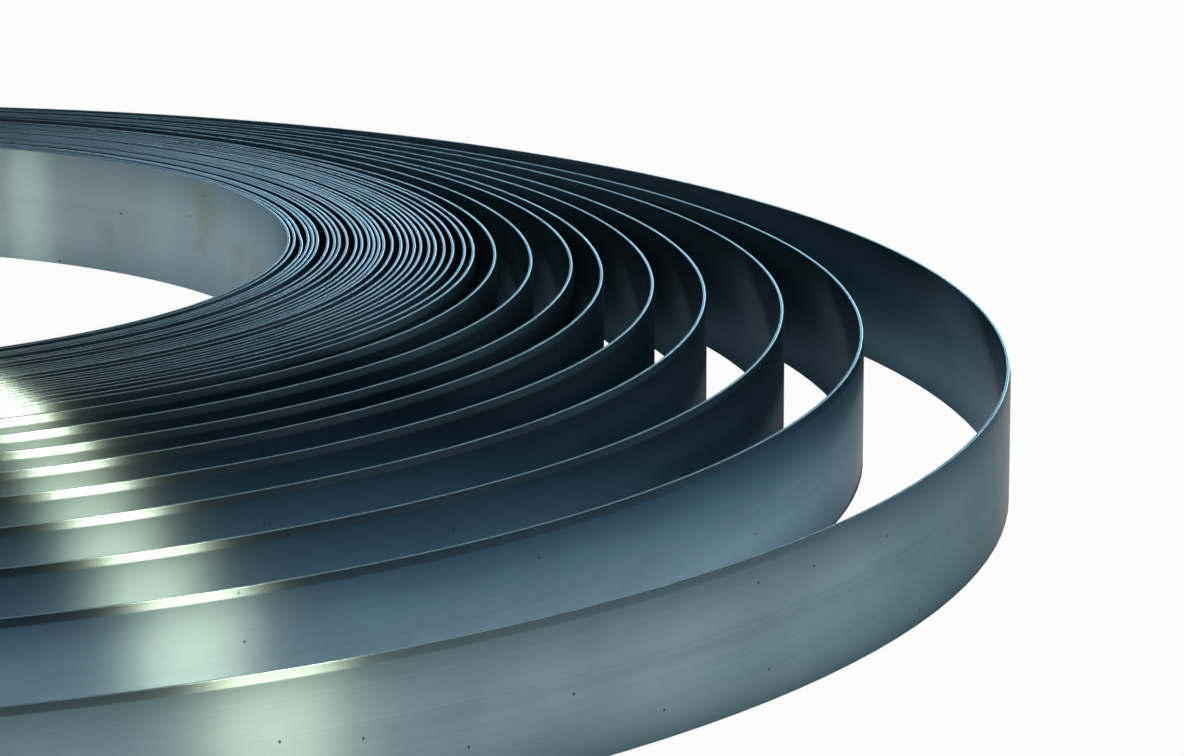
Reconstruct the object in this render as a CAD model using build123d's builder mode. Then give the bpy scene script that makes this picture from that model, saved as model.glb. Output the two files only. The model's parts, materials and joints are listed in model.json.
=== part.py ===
from build123d import *
import os

# A coil of narrow cold rolled steel strip, lying flat, its outer turns sprung
# loose. Seen from above the strip winds counter-clockwise from the bore out.
# The turns stay close together on the tight side (+Y) and fan open on the
# loose side (-Y). All sizes are in millimetres. The origin is on the bore
# axis, at the level of the floor.

# Strip
strip_width = 32.0
strip_thickness = 1.0

# Bore left by the winding mandrel, and the strip's inner end beside it:
# its direction from the bore axis in degrees, and the arc over which the
# second turn climbs onto it
bore_diameter = 300.0
inner_end_angle = 215.0
inner_end_climb = 14.0

# Pack. The inner turns lie in bunches, counted here from the bore out, which
# press together on the tight side and part on the loose side. Each turn of a
# bunch takes up its thickness and a hairline of air.
bunches = (2, 3, 2, 2, 3, 4, 2, 3, 3, 3)
packed_air = 0.38
bunch_gap = 2.85
bunch_press = 0.4

# Loose turns, from the pack out: the clear gap inside each one on the loose
# side, and the clear gap that they keep from each other on the tight side
loose_gaps = (7.5, 13.5, 15.5, 16.5, 20.5, 25.5, 32.0, 38.0, 60.0)
tight_gap = 1.3

# Free outer end: the degrees that it reaches past the tight side, and the gap
# that this last stretch would open if it ran on to the loose side
outer_end_sweep = 50.0
outer_end_gap = 60.0

bore_radius = bore_diameter / 2
half_thickness = strip_thickness / 2
packed_pitch = strip_thickness + packed_air


def round_through(near, far):
    """Centre and radius of the circle that crosses the Y axis at -near and at far."""
    return (0, (far - near) / 2), (far + near) / 2


def disc(near, far, mode):
    centre, radius = round_through(near, far)
    with Locations(centre):
        Circle(radius, mode=mode)


def at_bore(angle, depth):
    """Point at a direction from the bore axis, this deep in the bore's wall."""
    return Vector(bore_radius + depth, 0).rotate(Axis.Z, angle)


# Where the outer face of each bunch crosses the loose side and the tight side
near_faces = []
far_faces = []
near_face = bore_radius
far_face = bore_radius
for turns in bunches:
    near_face += turns * packed_pitch
    far_face += turns * packed_pitch
    near_faces.append(near_face)
    far_faces.append(far_face)
    near_face += bunch_gap

# Half turns of the loose strip's centre line, as its crossings of the loose
# side and the tight side, the direction that it starts in and its sweep.
# The first one peels off the pack, from half a thickness under its surface.
near_line = near_faces[-1] - half_thickness
far_line = far_faces[-1] - strip_thickness
half_turns = []
for gap in loose_gaps:
    near_line += gap + strip_thickness
    half_turns.append((near_line, far_line, 90, 180))
    far_line += tight_gap + strip_thickness
    half_turns.append((near_line, far_line, 270, 180))
near_line += outer_end_gap + strip_thickness
half_turns.append((near_line, far_line, 90, outer_end_sweep))

with BuildPart() as steel_strip:
    with BuildSketch() as plan:
        # Pack, from its outermost bunch inwards
        for outer in range(len(bunches) - 1, 0, -1):
            inner = outer - 1
            disc(near_faces[outer], far_faces[outer], Mode.ADD)
            disc(near_faces[inner] + bunch_gap, far_faces[inner] - bunch_press, Mode.SUBTRACT)
        disc(near_faces[0], far_faces[0], Mode.ADD)
        Circle(bore_radius, mode=Mode.SUBTRACT)

        # Wedge of air beside the strip's inner end, under the second turn
        with BuildLine():
            climb_start = inner_end_angle - inner_end_climb
            climb_middle = inner_end_angle - inner_end_climb / 2
            climb = ThreePointArc(
                at_bore(climb_start, 0),
                at_bore(climb_middle, 0.4 * strip_thickness),
                at_bore(inner_end_angle, strip_thickness),
            )
            Line(climb @ 1, at_bore(inner_end_angle, 0))
            CenterArc((0, 0), bore_radius, inner_end_angle, -inner_end_climb)
        make_face(mode=Mode.SUBTRACT)

        # Loose turns, one strip from the pack to its free end
        with BuildLine():
            inner_face = []
            outer_face = []
            for near, far, start_angle, sweep in half_turns:
                centre, radius = round_through(near, far)
                inner_face.append(CenterArc(centre, radius - half_thickness, start_angle, sweep))
                outer_face.append(CenterArc(centre, radius + half_thickness, start_angle, sweep))
            Line(inner_face[0] @ 0, outer_face[0] @ 0)
            Line(inner_face[-1] @ 1, outer_face[-1] @ 1)
        make_face()
    extrude(amount=strip_width)
steel_strip.part.label = "steel_strip"

os.makedirs("parts", exist_ok=True)
export_step(steel_strip.part, "parts/steel_strip.step")
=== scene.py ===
import json
import math

import bpy
import numpy as np
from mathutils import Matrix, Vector


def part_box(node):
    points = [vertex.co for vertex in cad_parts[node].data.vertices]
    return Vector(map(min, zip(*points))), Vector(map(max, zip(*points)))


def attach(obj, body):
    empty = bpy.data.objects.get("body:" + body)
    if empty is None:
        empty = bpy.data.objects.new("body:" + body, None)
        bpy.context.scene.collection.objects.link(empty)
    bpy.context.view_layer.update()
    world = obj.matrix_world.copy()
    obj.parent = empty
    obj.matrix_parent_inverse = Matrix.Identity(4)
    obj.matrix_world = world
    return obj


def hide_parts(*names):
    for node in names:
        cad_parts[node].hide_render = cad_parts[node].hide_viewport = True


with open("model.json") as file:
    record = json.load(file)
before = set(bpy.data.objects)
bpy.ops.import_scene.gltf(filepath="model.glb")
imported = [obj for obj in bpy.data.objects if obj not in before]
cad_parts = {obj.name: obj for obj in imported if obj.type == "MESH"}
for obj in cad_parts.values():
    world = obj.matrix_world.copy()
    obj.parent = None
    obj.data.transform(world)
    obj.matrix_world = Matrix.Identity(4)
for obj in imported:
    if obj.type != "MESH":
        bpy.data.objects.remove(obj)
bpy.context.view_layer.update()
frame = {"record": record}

# Looks of a coil of cold rolled steel strip whose outer turns have sprung
# loose. Places are in metres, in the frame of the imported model: the bore axis
# is Z, the tight side is +Y and the loose side is -Y. Sizes that are named in
# millimetres are turned into metres by MM.

MM = 0.001
NODE = "steel_strip"
lowest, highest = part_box(NODE)
mounts = {mount["name"]: mount for mount in frame["record"]["mounts"]}

# Strip
STRIP_WIDTH = highest[2] - lowest[2]
THICKNESS = 1.0 * MM
HALF_THICKNESS = THICKNESS / 2

# The slitting knife has drawn the top of the outer face inward over this
# height, at this slope in degrees. The bend at its foot takes the lower share.
DRAWN_HEIGHT = 2.1 * MM
DRAWN_SLOPE = 9.5
BEND_SHARE = 0.2

# Radii of the section's corners, and the steps that each is drawn in
TOP_OUTER_CORNER = 0.1 * MM
TOP_INNER_CORNER = 0.12 * MM
BOTTOM_CORNER = 0.14 * MM
TOP_STEPS = 3
BOTTOM_STEPS = 1

# How far the turns may sit below the top of the coil, and the lengths of the
# waves in which they do
TOP_SPREAD = 0.25 * MM
TOP_WAVES = (0.37, 0.83, 1.9)
TOP_SEED = 3

# The strip's inner end, in degrees from +X. Its outer end runs on past the
# tight side by so many degrees, on an arc that opens by this gap at -Y.
INNER_END_ANGLE = 215
OUTER_END_SWEEP = 50
OUTER_END_GAP = 60 * MM

# Winding
BORE_RADIUS = mounts["bore"]["dims"]["r_mm"] * MM
STEPS_PER_HALF_TURN = 90

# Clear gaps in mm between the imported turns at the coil's right, from the bore
# out: some turns nearly touch there, others stand apart
PACKED_GAPS = (
    0.4, 1.2, 0.5, 0.3, 0.2, 1.7, 0.7, 0.3, 0.9, 1.5, 0.4, 0.9, 0.3,
    0.3, 0.2, 1.2, 1.4, 0.6, 0.8, 0.6, 0.9, 0.7, 1.5, 1.0, 2.0, 1.4,
)
# What is left of such a gap on the tight side
TIGHT_SHARE = 0.43
# How far the outermost packed turn springs out of round at the right
PACK_SPRING = 0.7 * MM
# Each loose turn: its shares of the air on the loose side and on the tight
# side, and how far it springs out of round at the right, in mm
LOOSE_TURNS = (
    (9.0, 0.3, 0.6), (13.5, 3.0, 0.7), (15.4, 3.0, 0.7), (16.6, 0.2, -0.9), (20.4, 0.5, 0.4),
    (25.4, 0.3, -0.5), (32.0, 1.7, 0.3), (38.0, 0.2, -1.2), (60.0, 2.0, -0.15),
)

# The third turn from the bore leans out before its rightmost point and in
# after it, by these shares of the gaps beside it. The degrees, counted from
# that point, say where it moves off and where it comes back.
LEANING_TURN = 3
LEAN_OUT_SHARE = 0.6
LEAN_OUT = ((-80, -50), (-5, 1))
LEAN_IN_SHARE = 0.7
LEAN_IN = ((-1, 7), (60, 120))

# Other turns wander by this share of the smaller gap beside them, in waves of
# these lengths. A gap wider than WANDER_WIDEST counts as that wide. The wander
# fades in between these degrees from the leaning turn's rightmost point.
WANDER_SHARE = 0.3
WANDER_WAVES = (0.19, 0.31, 0.53)
WANDER_SEED = 11
WANDER_WIDEST = 1.2 * MM
WANDER_FROM = (90, 180)

# Camera: its place, how far it looks down in degrees, and its lens and frame
# width in mm
CAMERA_PLACE = (0.2296, -1.4186, 0.3226)
CAMERA_PITCH = 12.96
CAMERA_LENS = 168.83
CAMERA_FRAME = 36


def crossings():
    """Where the centre line of each turn crosses the loose side and the tight side."""
    near = [BORE_RADIUS + HALF_THICKNESS]
    far = [BORE_RADIUS + HALF_THICKNESS]
    for gap in PACKED_GAPS:
        near.append(near[-1] + THICKNESS + (2 - TIGHT_SHARE) * gap * MM)
        far.append(far[-1] + THICKNESS + TIGHT_SHARE * gap * MM)
    steel = len(LOOSE_TURNS) * THICKNESS
    near_air = -lowest[1] - HALF_THICKNESS - near[-1] - steel
    far_air = highest[1] - HALF_THICKNESS - far[-1] - steel
    near_shares, far_shares, _ = np.transpose(LOOSE_TURNS)
    for near_share, far_share in zip(near_shares, far_shares):
        near.append(near[-1] + THICKNESS + near_air * near_share / near_shares.sum())
        far.append(far[-1] + THICKNESS + far_air * far_share / far_shares.sum())
    return near, far


def half_turns():
    """The strip as tangent arcs: near and far crossing, start, sweep in degrees and spring."""
    near, far = crossings()
    packed = len(PACKED_GAPS)
    springs = [PACK_SPRING * (turn / packed) ** 2 for turn in range(packed + 1)]
    springs += [spring * MM for _, _, spring in LOOSE_TURNS]
    route = [(near[0], far[0], INNER_END_ANGLE, 270 - INNER_END_ANGLE, 0)]
    for turn, spring in enumerate(springs):
        if turn > 0:
            route.append((near[turn], far[turn - 1], 90, 180, 0))
        route.append((near[turn], far[turn], 270, 180, spring))
    route.append((near[-1] + OUTER_END_GAP, far[-1], 90, OUTER_END_SWEEP, 0))
    return route


def smooth_step(value, low, high):
    part = np.clip((value - low) / (high - low), 0, 1)
    return part * part * (3 - 2 * part)


def rise_and_fall(value, rise, fall):
    """From 0 to 1 across the rise, and back to 0 across the fall."""
    return smooth_step(value, *rise) * (1 - smooth_step(value, *fall))


def waves(along, wavelengths, seed):
    """Smooth wandering between -1 and 1 along the strip."""
    rng = np.random.default_rng(seed)
    phases = rng.uniform(0, 2 * math.pi, len(wavelengths))
    total = sum(np.sin(2 * math.pi * along / length + phase)
                for length, phase in zip(wavelengths, phases))
    return total / len(wavelengths)


def round_line():
    """Points, outward directions and degrees turned of each station, before any turn moves off its arcs."""
    points = []
    outward = []
    turned = []
    start_of_arc = INNER_END_ANGLE
    for near, far, start, sweep, spring in half_turns():
        centre = (far - near) / 2
        radius = (far + near) / 2
        steps = round(STEPS_PER_HALF_TURN * sweep / 180)
        for step in range(1 if points else 0, steps + 1):
            part = step / steps
            angle = math.radians(start + sweep * part)
            direction = (math.cos(angle), math.sin(angle))
            reach = radius + spring * math.sin(math.pi * part) ** 2
            points.append((reach * direction[0], centre + reach * direction[1]))
            outward.append(direction)
            turned.append(start_of_arc + sweep * part)
        start_of_arc += sweep
    return np.array(points), np.array(outward), np.array(turned)


def centre_line():
    """Points, outward directions, length run and degrees turned of each station along the strip."""
    points, outward, turned = round_line()
    spans = np.linalg.norm(np.diff(points, axis=0), axis=1)
    run = np.concatenate([[0], np.cumsum(spans)])

    # Clear gaps to the turns inside and outside of each station
    turn = 2 * STEPS_PER_HALF_TURN
    clear = np.linalg.norm(points[turn:] - points[:-turn], axis=1) - THICKNESS
    inside = np.concatenate([np.zeros(turn), clear])
    outside = np.concatenate([clear, np.zeros(turn)])

    from_right = turned - 360 * LEANING_TURN
    lean_out = LEAN_OUT_SHARE * rise_and_fall(from_right, *LEAN_OUT)
    lean_in = LEAN_IN_SHARE * rise_and_fall(from_right, *LEAN_IN)
    shift = lean_out * outside - lean_in * inside

    room = np.minimum(np.minimum(inside, outside), WANDER_WIDEST)
    free = smooth_step(np.abs(from_right), *WANDER_FROM)
    shift += WANDER_SHARE * room * free * waves(run, WANDER_WAVES, WANDER_SEED)
    return points + outward * shift[:, None], outward, run, turned


def corner(side, up, radius, start, end, steps):
    """Points of a rounded corner with their normals: a quarter turn or less about its centre."""
    rows = []
    for step in range(steps + 1):
        angle = math.radians(start + (end - start) * step / steps)
        normal = (math.cos(angle), math.sin(angle))
        rows.append((side + radius * normal[0], up + radius * normal[1], *normal))
    return rows


def section():
    """The strip's section, walked round once: offset outward, height, and the normal's two parts.

    It starts at the foot of the drawn slope, goes up the outer face, over the
    top, down the inner face and back along the bottom.
    """
    top = STRIP_WIDTH - TOP_SPREAD
    slope = math.radians(DRAWN_SLOPE)
    foot = top - DRAWN_HEIGHT
    bend = BEND_SHARE * DRAWN_HEIGHT
    bent = HALF_THICKNESS - bend * math.tan(slope / 2)
    straight = top - TOP_OUTER_CORNER * (1 - math.sin(slope)) - foot - bend
    drawn = bent - straight * math.tan(slope) - TOP_OUTER_CORNER * math.cos(slope)
    inner = HALF_THICKNESS - TOP_INNER_CORNER
    low = HALF_THICKNESS - BOTTOM_CORNER
    rows = [(HALF_THICKNESS, foot, 1, 0), (bent, foot + bend, math.cos(slope), math.sin(slope))]
    rows += corner(drawn, top - TOP_OUTER_CORNER, TOP_OUTER_CORNER, DRAWN_SLOPE, 90, TOP_STEPS)
    rows += corner(-inner, top - TOP_INNER_CORNER, TOP_INNER_CORNER, 90, 180, TOP_STEPS)
    rows += corner(-low, BOTTOM_CORNER, BOTTOM_CORNER, 180, 270, BOTTOM_STEPS)
    rows += corner(low, BOTTOM_CORNER, BOTTOM_CORNER, 270, 360, BOTTOM_STEPS)
    return np.array(rows)


# Order of the materials on the mesh
FACE_SLOT = 0
EDGE_SLOT = 1
BORE_SLOT = 2


def material_slots(turned, width):
    """Material of each quad: a rolled face on the outer and the inner side, a sheared edge elsewhere.

    The inner side of the first turn is the bore's wall.
    """
    outer_face = (0, 1, width - 1)
    inner_face = 2 * (TOP_STEPS + 1) + 1
    slots = np.full((len(turned) - 1, width), EDGE_SLOT)
    slots[:, outer_face] = FACE_SLOT
    slots[:, inner_face] = np.where(turned[:-1] < INNER_END_ANGLE + 360, BORE_SLOT, FACE_SLOT)
    return slots


def strip_mesh():
    """The section swept along the centre line, with a flat cap on each end."""
    points, outward, run, turned = centre_line()
    rows = section()
    stations = len(points)
    width = len(rows)
    rise = TOP_SPREAD * (0.5 + 0.5 * waves(run, TOP_WAVES, TOP_SEED))
    lift = np.where(rows[:, 1] > STRIP_WIDTH / 2, 1, 0)
    places = points[:, None, :] + outward[:, None, :] * rows[None, :, 0, None]
    heights = rows[None, :, 1] + rise[:, None] * lift[None, :]
    vertices = np.concatenate([places, heights[:, :, None]], axis=2).reshape(-1, 3)
    normals = np.concatenate([
        outward[:, None, :] * rows[None, :, 2, None],
        np.broadcast_to(rows[None, :, 3, None], (stations, width, 1)),
    ], axis=2).reshape(-1, 3)

    here = np.arange(stations - 1)[:, None] * width
    column = np.arange(width)[None, :]
    following = (column + 1) % width
    quads = np.stack([
        here + column, here + width + column, here + width + following, here + following,
    ], axis=2).reshape(-1, 4)
    last = len(vertices) - width
    caps = [list(range(width)), list(range(last, len(vertices)))[::-1]]
    mesh = bpy.data.meshes.new("steel_strip_wound")
    mesh.from_pydata(vertices.tolist(), [], quads.tolist() + caps)

    slots = np.append(material_slots(turned, width).ravel(), [EDGE_SLOT, EDGE_SLOT])
    mesh.polygons.foreach_set("material_index", slots.astype(np.int32))

    # Length run and height as texture coordinates
    loop_vertex = np.empty(len(mesh.loops), dtype=np.int32)
    mesh.loops.foreach_get("vertex_index", loop_vertex)
    texture = mesh.uv_layers.new(name="strip")
    coordinates = np.stack([run[loop_vertex // width], vertices[loop_vertex, 2]], axis=1)
    texture.data.foreach_set("uv", coordinates.ravel())

    # Normals: the section's, and square to the strip on the caps
    loop_normals = normals[loop_vertex]
    loop_normals[-2 * width:-width] = (outward[0][1], -outward[0][0], 0)
    loop_normals[-width:] = (-outward[-1][1], outward[-1][0], 0)
    mesh.shade_smooth()
    mesh.normals_split_custom_set(loop_normals.tolist())
    mesh.update()
    return mesh


class Nodes:
    """Short way to build a node tree."""

    def __init__(self, tree):
        self.tree = tree
        tree.nodes.clear()

    def feed(self, socket, value):
        if isinstance(value, bpy.types.NodeSocket):
            self.tree.links.new(value, socket)
        else:
            socket.default_value = value

    def add(self, kind, inputs=None, **settings):
        node = self.tree.nodes.new(kind)
        for name, value in settings.items():
            setattr(node, name, value)
        for name, value in (inputs or {}).items():
            self.feed(node.inputs[name], value)
        return node

    def math(self, operation, *values):
        return self.add("ShaderNodeMath", dict(enumerate(values)), operation=operation).outputs[0]

    def mix_numbers(self, factor, first, second):
        return self.add("ShaderNodeMix", {0: factor, 2: first, 3: second}).outputs[0]

    def mix_colours(self, factor, first, second):
        return self.add("ShaderNodeMix", {0: factor, 6: first, 7: second}, data_type="RGBA").outputs[2]

    def ramp(self, value, low, high, low_out=0.0, high_out=1.0):
        return self.add("ShaderNodeMapRange", {
            "Value": value, "From Min": low, "From Max": high, "To Min": low_out, "To Max": high_out,
        }).outputs[0]

    def noise(self, vector, along, across, detail=2.0, roughness=0.5):
        """Noise over the strip, by its cells in a metre along and across."""
        stretched = self.add("ShaderNodeMapping", {"Vector": vector, "Scale": (along, across, 1)})
        return self.add("ShaderNodeTexNoise", {
            "Vector": stretched.outputs[0], "Scale": 1.0, "Detail": detail, "Roughness": roughness,
        }).outputs["Fac"]


# Colours of the metal: dark and light in its rolling lines, and the painted shade
# along its borders, then at a grazing view
FACE_TONES_AND_BORDER_SHADE = ((0.295, 0.455, 0.555, 1), (0.40, 0.59, 0.70, 1), (0.12, 0.20, 0.25, 1))
FACE_GRAZING = (0.42, 0.48, 0.52, 1)
# The bore's wall is the same steel as the rolled faces: its lighter tones are painted light, and its border
# colour is painted shade
BORE_TONES_PAINTED_LIGHT_AND_SHADE = ((0.57, 0.74, 0.83, 1), (0.69, 0.86, 0.93, 1), (0.42, 0.58, 0.66, 1))
BORE_GRAZING = (1.0, 1.0, 1.0, 1)
STAIN_COLOUR = (0.50, 0.58, 0.46, 1)
SPECK_COLOUR = (0.01, 0.015, 0.02, 1)
EDGE_DARK = (0.31, 0.50, 0.63, 1)
EDGE_LIGHT = (0.36, 0.57, 0.70, 1)
EDGE_GRAZING = (0.65, 0.87, 1.0, 1)

# Roughness of the faces, and the share by which it varies with the tone
FACE_ROUGHNESS = 0.197
BORE_ROUGHNESS = 0.29
ROUGHNESS_SPREAD = 0.04
# Roughness of the sheared edge, in its dark lines and in its light ones
EDGE_ROUGHNESS = (0.30, 0.26)

# Noise over the faces: cells in a metre along and across, detail, roughness
ROLLING_LINES = (2.5, 1800, 3, 0.6)
ROLLING_BANDS = (3, 160, 2, 0.5)
CLOUDS = (32, 45, 3, 0.55)
STAINS = (26, 22, 3, 0.5)
KNIFE_LINES = (12, 6000, 2, 0.5)
# Shares of the lines, bands and clouds in the tone of a face
TONE_SHARES = (0.25, 0.25, 0.5)
# Where the noise turns from dark to light, or from clean to stained
TONE_RANGE = (0.36, 0.64)
STAIN_RANGE = (0.55, 0.68)
KNIFE_RANGE = (0.3, 0.7)
# Height and strength of the rolling lines as bump
BUMP_HEIGHT = 0.02 * MM
BUMP_STRENGTH = 0.1

# Painted shade along the borders: it begins this far from the strip's middle,
# darkens as this power of the way out, and reaches this share of its colour
BORDER_SHADE_START = 5 * MM
BORDER_SHADE_POWER = 1.5
BORDER_SHADE_SHARE = 0.9

# Specks: cells in a metre with one in each, and their radii in cells, of the
# dark core and of the whole
SPECK_CELLS = 38
SPECK_RADII = (0.008, 0.013)


def new_material(name):
    material = bpy.data.materials.new(name)
    material.use_nodes = True
    return material, Nodes(material.node_tree)


def metal(n, colour, grazing, roughness, more=None):
    """Metal with its grain along the strip, which spreads each highlight across the strip."""
    tangent = n.add("ShaderNodeTangent", direction_type="UV_MAP", uv_map="strip")
    shader = n.add("ShaderNodeBsdfPrincipled", {
        "Base Color": colour, "Metallic": 1.0, "Roughness": roughness,
        "Anisotropic": 1.0, "Anisotropic Rotation": 0.25, "Specular Tint": grazing,
        "Tangent": tangent.outputs[0], **(more or {}),
    })
    n.add("ShaderNodeOutputMaterial", {"Surface": shader.outputs[0]})


def face_material(name, tones_and_border_shade, grazing, roughness, stained):
    """Rolled face: blue-grey with rolling lines along the strip, and painted shade darkening both borders.
    """
    dark, light, border_shade_colour = tones_and_border_shade
    material, n = new_material(name)
    uv = n.add("ShaderNodeUVMap", uv_map="strip").outputs[0]
    lines = n.noise(uv, *ROLLING_LINES)
    parts = (lines, n.noise(uv, *ROLLING_BANDS), n.noise(uv, *CLOUDS))
    tone = 0
    for part, share in zip(parts, TONE_SHARES):
        tone = n.math("ADD", tone, n.math("MULTIPLY", part, share))
    tone = n.ramp(tone, *TONE_RANGE)
    colour = n.mix_colours(tone, dark, light)
    if stained:
        stains = n.ramp(n.noise(uv, *STAINS), *STAIN_RANGE)
        colour = n.mix_colours(stains, colour, STAIN_COLOUR)

    # Painted shade: the face darkens towards its top and bottom borders
    height = n.add("ShaderNodeSeparateXYZ", {"Vector": uv}).outputs["Y"]
    from_middle = n.math("ABSOLUTE", n.math("SUBTRACT", height, STRIP_WIDTH / 2))
    border_shade = n.ramp(from_middle, BORDER_SHADE_START, STRIP_WIDTH / 2)
    border_shade = n.math("MULTIPLY", n.math("POWER", border_shade, BORDER_SHADE_POWER), BORDER_SHADE_SHARE)
    colour = n.mix_colours(border_shade, colour, border_shade_colour)

    cells = n.add("ShaderNodeMapping", {"Vector": uv, "Scale": (SPECK_CELLS, SPECK_CELLS, 1)})
    dots = n.add("ShaderNodeTexVoronoi", {"Vector": cells.outputs[0], "Scale": 1.0},
                 voronoi_dimensions="2D")
    speck = n.ramp(dots.outputs["Distance"], *SPECK_RADII, 1.0, 0.0)
    colour = n.mix_colours(speck, colour, SPECK_COLOUR)

    rough = n.ramp(tone, 0, 1, (1 + ROUGHNESS_SPREAD) * roughness, (1 - ROUGHNESS_SPREAD) * roughness)
    bump = n.add("ShaderNodeBump", {"Height": lines, "Strength": BUMP_STRENGTH, "Distance": BUMP_HEIGHT})
    metal(n, colour, grazing, rough, {"Normal": bump.outputs[0]})
    return material


def edge_material():
    """Sheared edge: bare metal with fine lines along it."""
    material, n = new_material("sheared_edge")
    uv = n.add("ShaderNodeUVMap", uv_map="strip").outputs[0]
    lines = n.noise(uv, *KNIFE_LINES)
    colour = n.mix_colours(n.ramp(lines, *KNIFE_RANGE), EDGE_DARK, EDGE_LIGHT)
    metal(n, colour, EDGE_GRAZING, n.ramp(lines, *KNIFE_RANGE, *EDGE_ROUGHNESS))
    return material


def make_strip():
    """The whole coil: one strip that stands for the CAD's one node."""
    mesh = strip_mesh()
    mesh.materials.append(face_material("rolled_face", FACE_TONES_AND_BORDER_SHADE, FACE_GRAZING, FACE_ROUGHNESS, False))
    mesh.materials.append(edge_material())
    # The bore's wall: the face steel made lighter by painted light, with real stains
    mesh.materials.append(face_material("bore_wall", BORE_TONES_PAINTED_LIGHT_AND_SHADE, BORE_GRAZING, BORE_ROUGHNESS, True))
    strip = bpy.data.objects.new("steel_strip_wound", mesh)
    bpy.context.scene.collection.objects.link(strip)
    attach(strip, "root")
    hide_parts(NODE)


# Floor: half its side, its colour where it is lit and shaded, and how much it
# shines of itself to the camera, and to the metal outside of the coil
FLOOR_REACH = 12.0
FLOOR_COLOUR = (0.40, 0.47, 0.56, 1)
FLOOR_TO_CAMERA = 0.97
FLOOR_TO_METAL = 0.24
# Its painted light and shade to the metal within the outermost turn, within the
# next one and within the bore: two places along Y, and the shine before and behind them.
# These are set for faces between the turns as light as in the photo.
FLOOR_PAINTED_LIGHT_WITHIN = {
    -1: ((-0.12, 0.03), (0.48, 0.09)),
    -2: ((-0.24, -0.14), (0.37, 0.07)),
    0: ((-0.15, 0.15), (0.25, 0.25)),
}


def floor_to_metal(n):
    """Shine of the floor to the metal, with painted light and shade by the turns around each place."""
    near, far = crossings()
    place = n.add("ShaderNodeTexCoord").outputs["Object"]
    back = n.add("ShaderNodeSeparateXYZ", {"Vector": place}).outputs["Y"]
    shine = FLOOR_TO_METAL
    # Painted light and shade on the floor, seen by the metal only: lighter or darker within each turn by
    # place along Y
    for turn, (fade, shines) in FLOOR_PAINTED_LIGHT_WITHIN.items():
        centre = (0, (far[turn] - near[turn]) / 2, 0)
        reach = n.add("ShaderNodeVectorMath", {0: place, 1: centre}, operation="DISTANCE").outputs["Value"]
        within = n.math("LESS_THAN", reach, (far[turn] + near[turn]) / 2)
        shine = n.mix_numbers(within, shine, n.ramp(back, *fade, *shines))
    return shine


def make_floor():
    """Nearly white to the camera and less so to the metal, the rest being lit and shaded."""
    reach = FLOOR_REACH
    corners = [(-reach, -reach, 0), (reach, -reach, 0), (reach, reach, 0), (-reach, reach, 0)]
    mesh = bpy.data.meshes.new("floor")
    mesh.from_pydata(corners, [], [(0, 1, 2, 3)])
    floor = bpy.data.objects.new("floor", mesh)
    bpy.context.scene.collection.objects.link(floor)
    material, n = new_material("pale_floor")
    rays = n.add("ShaderNodeLightPath")
    mirrored = n.math("MAXIMUM", rays.outputs["Is Glossy Ray"], rays.outputs["Is Transmission Ray"])
    share = n.math("MAXIMUM", n.math("MULTIPLY", rays.outputs["Is Camera Ray"], FLOOR_TO_CAMERA),
                   n.math("MULTIPLY", mirrored, floor_to_metal(n)))
    matt = n.add("ShaderNodeBsdfDiffuse", {"Color": FLOOR_COLOUR})
    white = n.add("ShaderNodeEmission", {"Color": (1, 1, 1, 1), "Strength": 1.0})
    mixed = n.add("ShaderNodeMixShader", {0: share, 1: matt.outputs[0], 2: white.outputs[0]})
    n.add("ShaderNodeOutputMaterial", {"Surface": mixed.outputs[0]})
    mesh.materials.append(material)


# Studio, by how far a direction points right, back and up, each from -1 to 1.
# A pair of such numbers is where a change starts and ends.
STUDIO_LIGHT = 0.02
# Bright strip of wall: its foot and its top. Its light grows towards the back,
# and fades there to a share towards the left. Further left it grows by itself.
WALL_FOOT = (0.16, 0.18)
WALL_TOP = (0.25, 0.225)
WALL_BACK = (0.3, 0.8)
WALL_BACK_LIGHT = 5.0
WALL_FADE = (-0.12, -0.04)
WALL_FADE_SHARE = 0.45
WALL_LEFT = (0.15, -0.35)
WALL_LEFT_LIGHT = 1.4
# Glow low down: the direction on the floor where it is strongest, its height,
# its width about that direction, and its light out of it and in it
GLOW_RIGHT = 0.8
GLOW_BACK = 0.6
GLOW_HEIGHT = (0.25, 0.12)
GLOW_WIDTH = (0.2, 0.8)
GLOW_LIGHT = (0.02, 0.26)


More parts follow.
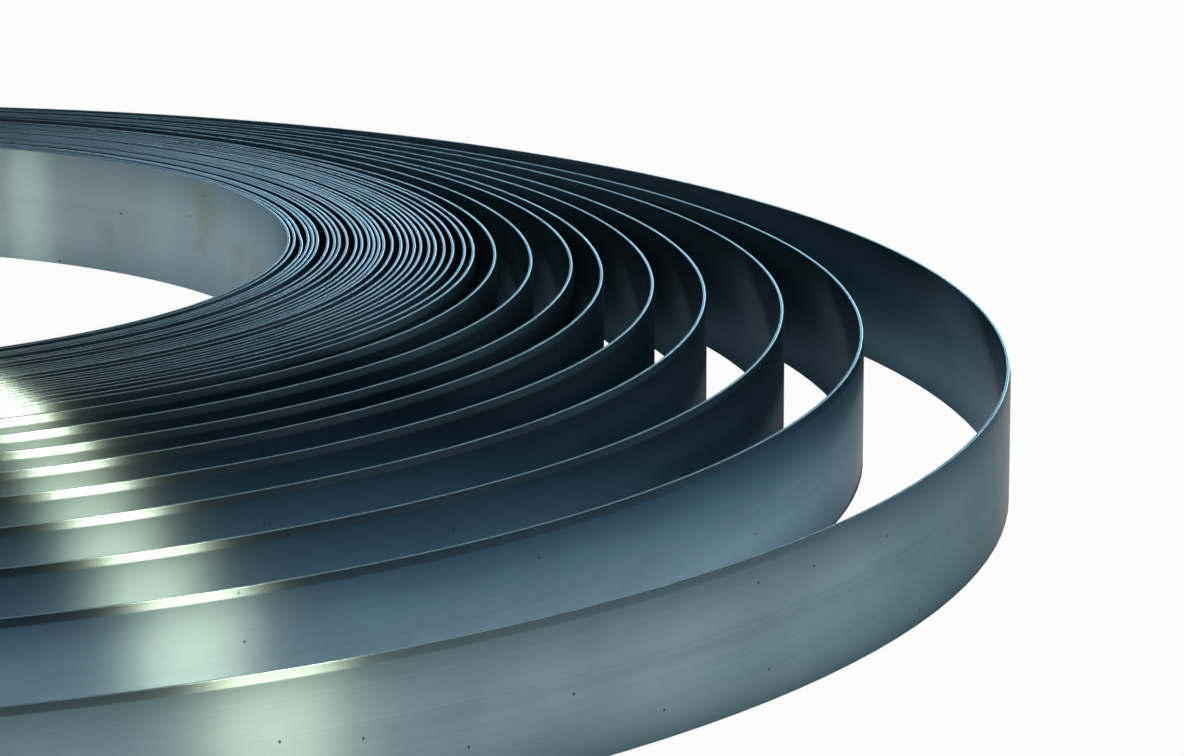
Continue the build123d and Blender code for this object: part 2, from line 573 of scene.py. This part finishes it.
def make_world():
    """A dark studio.

    A bright strip of wall stands behind the coil and goes on to the left,
    where it is dimmer, and the right side glows low down.
    """
    world = bpy.data.worlds.new("studio")
    bpy.context.scene.world = world
    world.use_nodes = True
    n = Nodes(world.node_tree)
    direction = n.add("ShaderNodeTexCoord").outputs["Generated"]
    axes = n.add("ShaderNodeSeparateXYZ", {"Vector": direction})
    right, back, up = (axes.outputs[name] for name in "XYZ")
    strip = n.math("MINIMUM", n.ramp(up, *WALL_FOOT), n.ramp(up, *WALL_TOP))
    behind = n.math("MULTIPLY", n.ramp(back, *WALL_BACK, 0, WALL_BACK_LIGHT),
                    n.ramp(right, *WALL_FADE, WALL_FADE_SHARE, 1))
    sides = n.math("MAXIMUM", behind, n.ramp(right, *WALL_LEFT, 0, WALL_LEFT_LIGHT))
    wall = n.math("MULTIPLY", strip, sides)
    aim = n.math("ADD", n.math("MULTIPLY", right, GLOW_RIGHT), n.math("MULTIPLY", back, GLOW_BACK))
    glow = n.math("MULTIPLY", n.ramp(up, *GLOW_HEIGHT), n.ramp(aim, *GLOW_WIDTH, *GLOW_LIGHT))
    background = n.add("ShaderNodeBackground", {
        "Color": (1.0, 1.0, 1.0, 1),
        "Strength": n.math("MAXIMUM", n.math("MAXIMUM", wall, glow), STUDIO_LIGHT),
    })
    n.add("ShaderNodeOutputWorld", {"Surface": background.outputs[0]})


# Lamps: place, the point that each looks at, size, power in watts and colour
LAMPS = {
    "side_softbox": ((1.10, -0.942, 0.526), (0.168, -0.4, 0.0), (0.22, 0.24), 17, (1.0, 0.77, 0.47)),
    "top_softbox": ((0.1, -0.45, 1.5), (0.1, -0.45, 0), (1.2, 1.2), 3, (1.0, 1.0, 1.0)),
}


def make_lamps():
    for name, (place, target, size, power, colour) in LAMPS.items():
        data = bpy.data.lights.new(name, "AREA")
        data.shape = "RECTANGLE"
        data.size, data.size_y = size
        data.energy = power
        data.color = colour
        lamp = bpy.data.objects.new(name, data)
        bpy.context.scene.collection.objects.link(lamp)
        lamp.location = place
        lamp.rotation_euler = (Vector(target) - Vector(place)).to_track_quat("-Z", "Y").to_euler()
        lamp.visible_camera = False


def make_camera():
    data = bpy.data.cameras.new("camera")
    data.lens = CAMERA_LENS
    data.sensor_width = CAMERA_FRAME
    camera = bpy.data.objects.new("camera", data)
    bpy.context.scene.collection.objects.link(camera)
    camera.location = CAMERA_PLACE
    camera.rotation_euler = (math.radians(90 - CAMERA_PITCH), 0, 0)
    bpy.context.scene.camera = camera


make_strip()
make_floor()
make_world()
make_lamps()
make_camera()
bpy.context.scene.view_settings.view_transform = "Standard"
